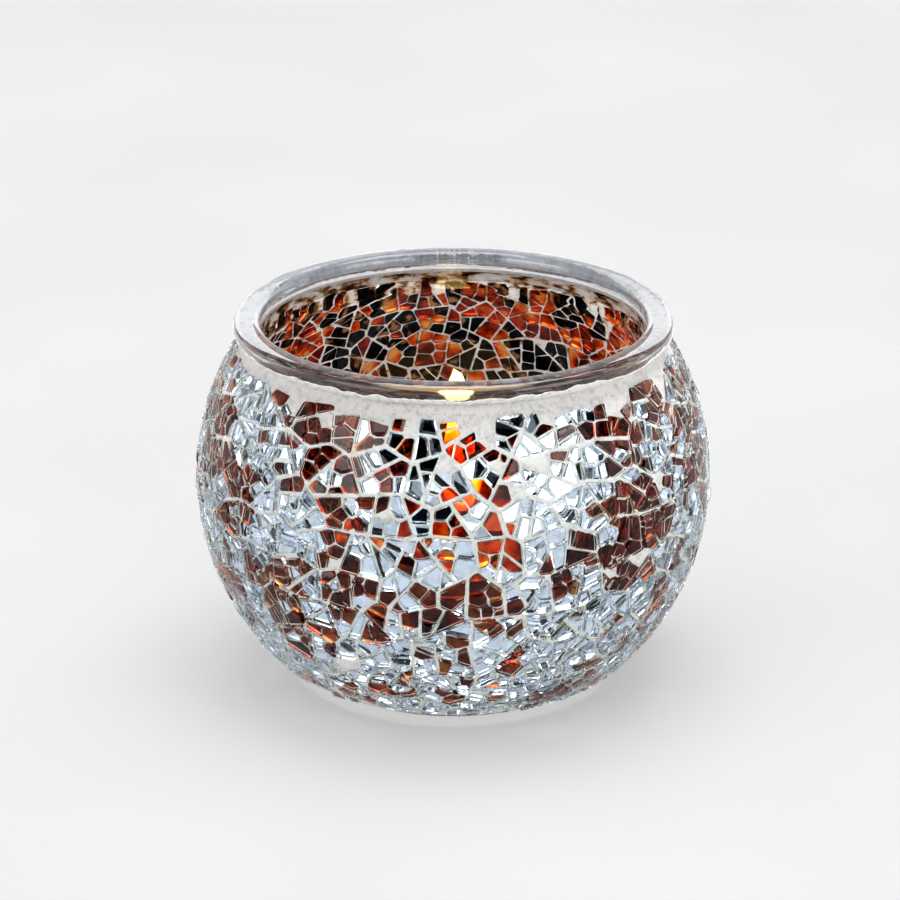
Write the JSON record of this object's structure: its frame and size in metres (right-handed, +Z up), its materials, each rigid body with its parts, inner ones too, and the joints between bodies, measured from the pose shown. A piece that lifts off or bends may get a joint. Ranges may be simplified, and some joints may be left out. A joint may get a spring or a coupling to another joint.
{
  "type": "tealight holder",
  "caption": "Globe-shaped clear glass bowl with a thick rim, clad in broken mirror pieces set in grout, holding a loose tealight.",
  "frame": {"origin": "middle of the flat base that the bowl stands on", "axes": "+Z up along the axis of the bowl and of the tealight, out through the mouth"},
  "size_m": [0.08, 0.0796, 0.0577],
  "materials": {
    "clear_glass": "pressed, fire polished, with a faint green edge",
    "mirror_glass": "silvered glass, broken and crazed",
    "grout": "off-white cement grout, slightly sandy",
    "cup_aluminium": "thin drawn sheet, bright",
    "wax": "warm white paraffin wax",
    "wick_cotton": "braided cotton, charred at the tip",
    "tinned_steel": "stamped tinplate"
  },
  "bodies": {
    "holder": {"glass_bowl": "clear_glass", "grout": "grout", "mirror_row_1": "mirror_glass", "mirror_row_2": "mirror_glass", "mirror_row_3": "mirror_glass", "mirror_row_4": "mirror_glass", "mirror_row_5": "mirror_glass", "mirror_row_6": "mirror_glass", "mirror_row_7": "mirror_glass", "mirror_row_8": "mirror_glass", "mirror_row_9": "mirror_glass"},
    "tealight": {"tealight_cup": "cup_aluminium", "wax": "wax", "wick": "wick_cotton", "wick_foot": "tinned_steel"}
  },
  "joints": [
    {"name": "tealight_lift", "type": "slide", "parent": "holder", "child": "tealight", "axis": [0, 0, 1], "range_m": [0, 0.06]}
  ]
}
